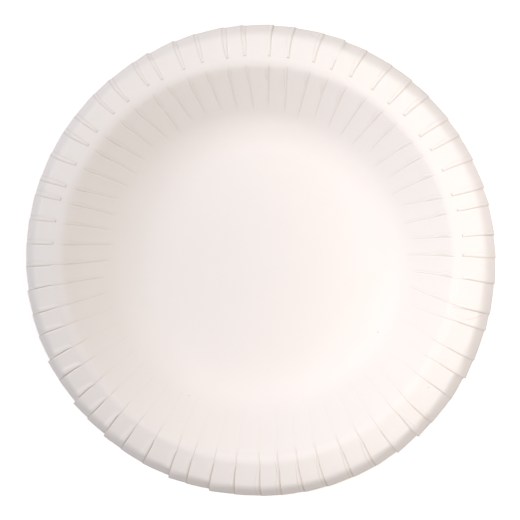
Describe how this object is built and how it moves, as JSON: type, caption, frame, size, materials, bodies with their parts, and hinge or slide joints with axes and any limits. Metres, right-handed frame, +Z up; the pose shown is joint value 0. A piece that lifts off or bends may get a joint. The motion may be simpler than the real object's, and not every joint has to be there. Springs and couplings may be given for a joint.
{
  "type": "paper plate",
  "caption": "Round white pressed-board plate, 230 mm across, with a flat base, a sloping wall, a pleated rim and a turned-down lip.",
  "frame": {"origin": "middle of the flat base, on the table", "axes": "+Z up out of the hollow; X and Y in the plane of the base"},
  "size_m": [0.2308, 0.2308, 0.0241],
  "materials": {
    "coated_board": "satin"
  },
  "bodies": {
    "root": {"plate": "coated_board"}
  },
  "joints": []
}
